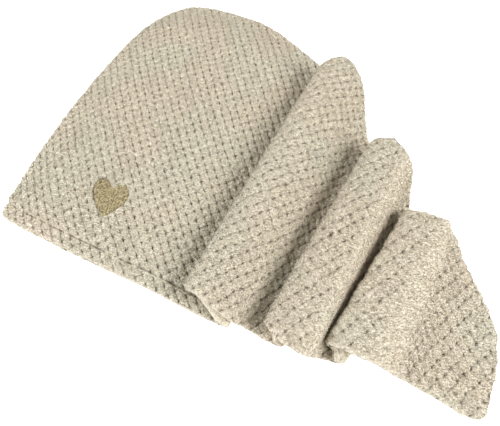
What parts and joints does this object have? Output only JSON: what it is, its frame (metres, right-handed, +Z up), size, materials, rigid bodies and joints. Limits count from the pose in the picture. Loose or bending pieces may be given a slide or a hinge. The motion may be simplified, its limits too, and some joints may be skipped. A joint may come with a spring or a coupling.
{
  "type": "hair turban towel",
  "caption": "Two-layer fleece towel cut as a hood with a tapered tail, for wrapping wet hair; lies flat with its tail pleated.",
  "frame": {"origin": "middle of the towel's bounding box, on the surface it lies on", "axes": "+X along the hem from the hood to the tail's tip, +Y from the hem to the crown seam, +Z up"},
  "size_m": [0.3604, 0.2642, 0.0291],
  "materials": {
    "waffle_fleece": "soft matt pile with a diamond lattice of small pits",
    "satin_stitch_thread": "low sheen embroidery thread"
  },
  "bodies": {
    "root": {"front_panel": "waffle_fleece", "back_panel": "waffle_fleece", "front_hem": "waffle_fleece", "back_hem": "waffle_fleece", "heart_patch": "satin_stitch_thread"}
  },
  "joints": []
}
